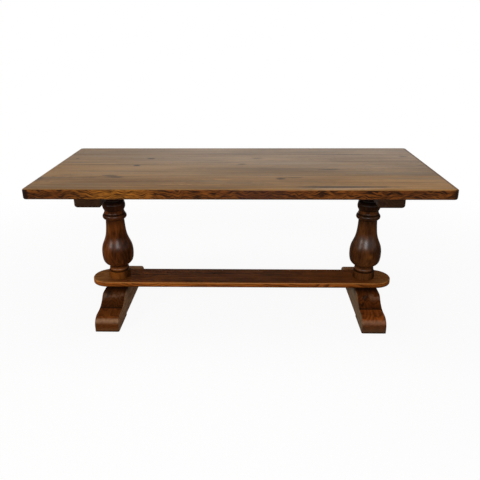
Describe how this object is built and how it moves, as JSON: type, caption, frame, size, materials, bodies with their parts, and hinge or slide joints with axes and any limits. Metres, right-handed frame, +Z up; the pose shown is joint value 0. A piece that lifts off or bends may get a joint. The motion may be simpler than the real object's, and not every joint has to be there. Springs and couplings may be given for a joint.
{
  "type": "trestle dining table",
  "caption": "Long oak trestle table with a boarded top on cross bearers, turned baluster columns, a round-ended platform stretcher and scooped sled feet.",
  "frame": {"origin": "on the floor, below the middle of the top", "axes": "+X along the length of the top, to the right as seen from the front; -Y faces the front; +Z up"},
  "size_m": [1.88, 0.88, 0.762],
  "materials": {
    "oak_top": "waxed satin, mid brown",
    "oak_base": "waxed satin, dark brown",
    "oak_bearer": "stained nearly black, dull",
    "raw_oak": "unfinished",
    "steel": "dull zinc"
  },
  "bodies": {
    "root": {"top_board_front": "oak_top", "top_board_front_middle": "oak_top", "top_board_back_middle": "oak_top", "top_board_back": "oak_top", "tongue_front": "raw_oak", "tongue_middle": "raw_oak", "tongue_back": "raw_oak", "bearer_left": "oak_bearer", "bearer_right": "oak_bearer", "top_screws_left": "steel", "top_screws_right": "steel", "top_washers_left": "steel", "top_washers_right": "steel", "column_left": "oak_base", "column_right": "oak_base", "upper_wedge_left": "raw_oak", "upper_wedge_right": "raw_oak", "lower_wedge_left": "raw_oak", "lower_wedge_right": "raw_oak", "stretcher": "oak_base", "foot_left": "oak_base", "foot_right": "oak_base", "stretcher_dowels_left": "raw_oak", "stretcher_dowels_right": "raw_oak"}
  },
  "joints": []
}
